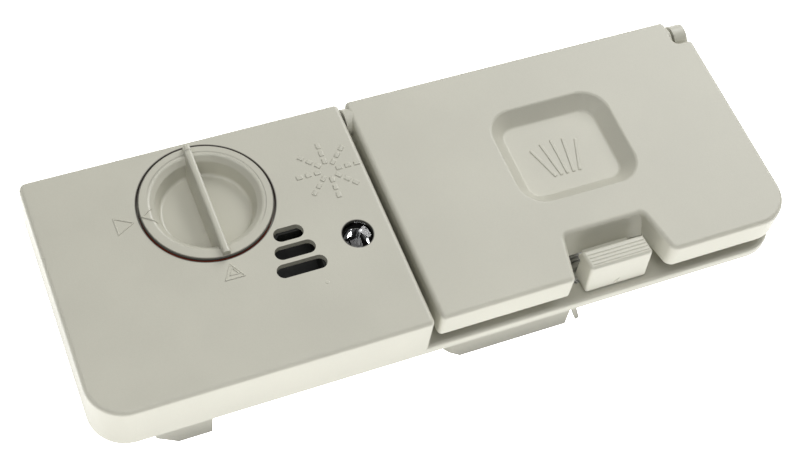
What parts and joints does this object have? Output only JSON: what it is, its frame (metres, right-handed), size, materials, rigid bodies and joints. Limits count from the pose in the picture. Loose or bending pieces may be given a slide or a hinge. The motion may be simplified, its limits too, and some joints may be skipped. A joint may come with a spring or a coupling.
{
  "type": "dishwasher detergent dispenser",
  "caption": "Door-mounted dishwasher dispenser: grey panel with quarter-turn rinse-aid cap, outlet slots and sight lens, beside a sprung detergent lid with a rocking latch.",
  "frame": {"origin": "middle of the surface it lies on, front face up", "axes": "+X along the front from cap to lid, +Y from the latch to the hinge, +Z out of the front face"},
  "size_m": [0.23, 0.085, 0.049],
  "materials": {
    "panel_plastic": "satin grey moulding",
    "lid_plastic": "satin grey moulding, a little lighter",
    "latch_plastic": "satin grey moulding",
    "cap_plastic": "satin grey moulding",
    "tank_plastic": "satin grey moulding",
    "dial_plastic": "white moulding",
    "bobbin_plastic": "white glass-filled moulding",
    "clear_plastic": "clear polycarbonate",
    "gasket_rubber": "black sealing rubber",
    "seal_silicone": "red silicone",
    "rod_steel": "drawn stainless steel",
    "spring_steel": "spring wire",
    "yoke_steel": "zinc-plated sheet",
    "winding_copper": "enamelled copper wire",
    "terminal_brass": "tinned brass"
  },
  "bodies": {
    "body": {"housing": "panel_plastic", "outlet_seal": "gasket_rubber", "tank_cover": "tank_plastic", "door_gasket": "gasket_rubber", "hinge_rod": "rod_steel", "lid_spring": "spring_steel", "latch_pin": "rod_steel", "latch_spring": "spring_steel", "sight_lens": "clear_plastic", "plunger_spring": "spring_steel", "solenoid_frame": "yoke_steel", "coil_bobbin": "bobbin_plastic", "coil_winding": "winding_copper", "coil_terminals": "terminal_brass", "solenoid_screws": "rod_steel"},
    "lid": {"lid": "lid_plastic", "lid_gasket": "gasket_rubber"},
    "latch": {"latch": "latch_plastic"},
    "plunger": {"plunger": "rod_steel"},
    "cap": {"rinse_cap": "cap_plastic", "cap_seal": "seal_silicone"},
    "dial": {"dose_dial": "dial_plastic"}
  },
  "joints": [
    {"name": "lid_hinge", "type": "hinge", "parent": "body", "child": "lid", "pos_m": [0.05, 0.0375, 0.0415], "axis": [-1, 0, 0], "range_deg": [0, 100], "deforming": ["lid_spring"]},
    {"name": "latch_pivot", "type": "hinge", "parent": "body", "child": "latch", "pos_m": [0.0542, -0.033, 0.021], "axis": [1, 0, 0], "range_deg": [-4, 5], "stiffness_Nm_per_rad": 0.02, "deforming": ["latch_spring"]},
    {"name": "plunger_slide", "type": "slide", "parent": "body", "child": "plunger", "axis": [0, 1, 0], "range_m": [-0.001, 0.0013], "deforming": ["plunger_spring"]},
    {"name": "cap_turn", "type": "hinge", "parent": "body", "child": "cap", "pos_m": [-0.0626, 0.0189, 0.044], "axis": [0, 0, 1], "range_deg": [0, 90]},
    {"name": "dial_turn", "type": "hinge", "parent": "body", "child": "dial", "pos_m": [-0.0626, 0.0189, 0.033], "axis": [0, 0, 1], "range_deg": [0, 150]}
  ],
  "couplings": [
    {"joint": "plunger_slide", "follows": "latch_pivot", "m_per_rad": 0.013}
  ]
}
